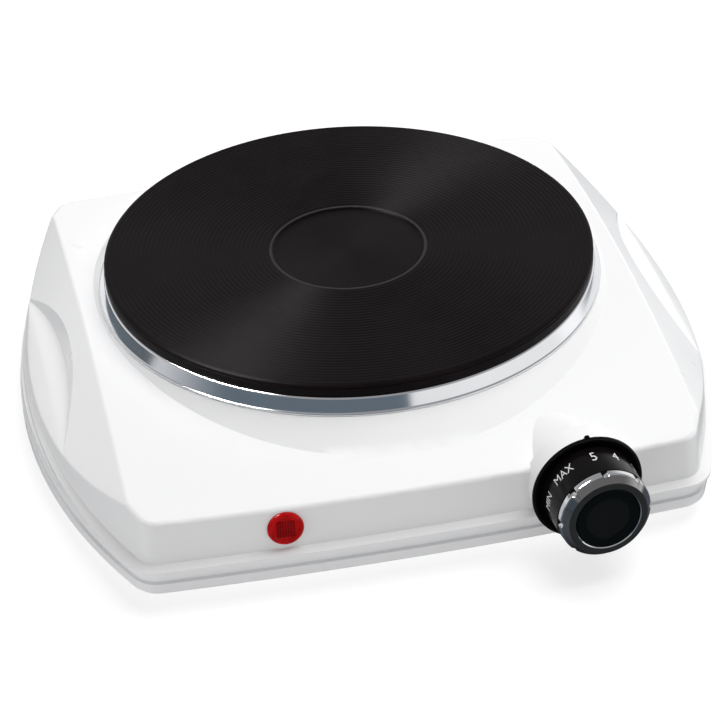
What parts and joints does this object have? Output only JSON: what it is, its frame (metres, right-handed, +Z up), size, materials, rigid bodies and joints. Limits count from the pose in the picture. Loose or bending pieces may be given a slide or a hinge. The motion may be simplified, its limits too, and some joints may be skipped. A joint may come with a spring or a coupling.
{
  "type": "hot plate burner",
  "caption": "Countertop electric hot plate: round cast-iron cooking plate on an arched white housing, turning heat knob with a numbered dial, indicator lamp, tray and rubber feet.",
  "frame": {"origin": "the point on the surface it stands on, straight below the middle of the cooking plate", "axes": "+Z up, +Y to the back, +X to the right as seen from the knob side"},
  "size_m": [0.2588, 0.2636, 0.058],
  "materials": {
    "white_enamel": "smooth satin stove enamel",
    "white_tray": "smooth satin paint",
    "black_iron": "black heat-proof coating over finely turned rings",
    "bright_steel": "polished",
    "black_plastic": "satin",
    "knob_chrome": "polished",
    "cap_plastic": "gloss",
    "red_lens": "moulded with a fine square lattice inside",
    "rubber_black": "matt",
    "ceramic": "matt, pressed",
    "coil_wire": "oxidised",
    "zinc_steel": "zinc plated",
    "brass_tab": "plain",
    "phenolic": "moulded",
    "wire_brown": "silicone sleeve",
    "wire_blue": "silicone sleeve",
    "wire_green": "silicone sleeve",
    "wire_white": "glass-fibre sleeve",
    "nylon": "moulded"
  },
  "bodies": {
    "base": {"base_screws": "zinc_steel", "base_tray": "white_tray", "contact_blade": "brass_tab", "cord_clamp": "nylon", "cord_clamp_screws": "zinc_steel", "cord_gland": "rubber_black", "cutout_terminals": "brass_tab", "earth_lug": "brass_tab", "earth_screw": "zinc_steel", "fixing_posts": "zinc_steel", "foot_back_left": "rubber_black", "foot_back_right": "rubber_black", "foot_front_left": "rubber_black", "foot_front_right": "rubber_black", "heat_shield": "zinc_steel", "heater_coil_inner": "coil_wire", "heater_coil_outer": "coil_wire", "hot_plate": "black_iron", "insulation_inner": "ceramic", "insulation_outer": "ceramic", "knob_bezel": "black_plastic", "lamp_body": "nylon", "lamp_clip": "zinc_steel", "lamp_leads": "wire_white", "lamp_lens": "red_lens", "plate_stud": "zinc_steel", "plate_terminals": "brass_tab", "retaining_bridge": "zinc_steel", "stud_nut": "zinc_steel", "stud_washer": "zinc_steel", "terminal_block": "nylon", "terminal_bush": "ceramic", "terminal_screws": "zinc_steel", "thermal_cutout": "ceramic", "thermostat_body": "phenolic", "thermostat_bracket": "zinc_steel", "thermostat_screws": "zinc_steel", "thermostat_terminals": "brass_tab", "top_housing": "white_enamel", "trim_ring": "bright_steel", "wire_cutout": "wire_white", "wire_earth": "wire_green", "wire_live": "wire_brown", "wire_neutral": "wire_blue", "wire_switched": "wire_white"},
    "knob": {"knob_body": "black_plastic", "knob_ring": "knob_chrome", "knob_cap": "cap_plastic", "knob_clip": "zinc_steel", "thermostat_shaft": "zinc_steel"}
  },
  "joints": [
    {"name": "knob_turn", "type": "hinge", "parent": "base", "child": "knob", "pos_m": [0.0568, -0.132, 0.0278], "axis": [0.0941, -0.9954, 0.0175], "range_deg": [-42, 275]}
  ]
}
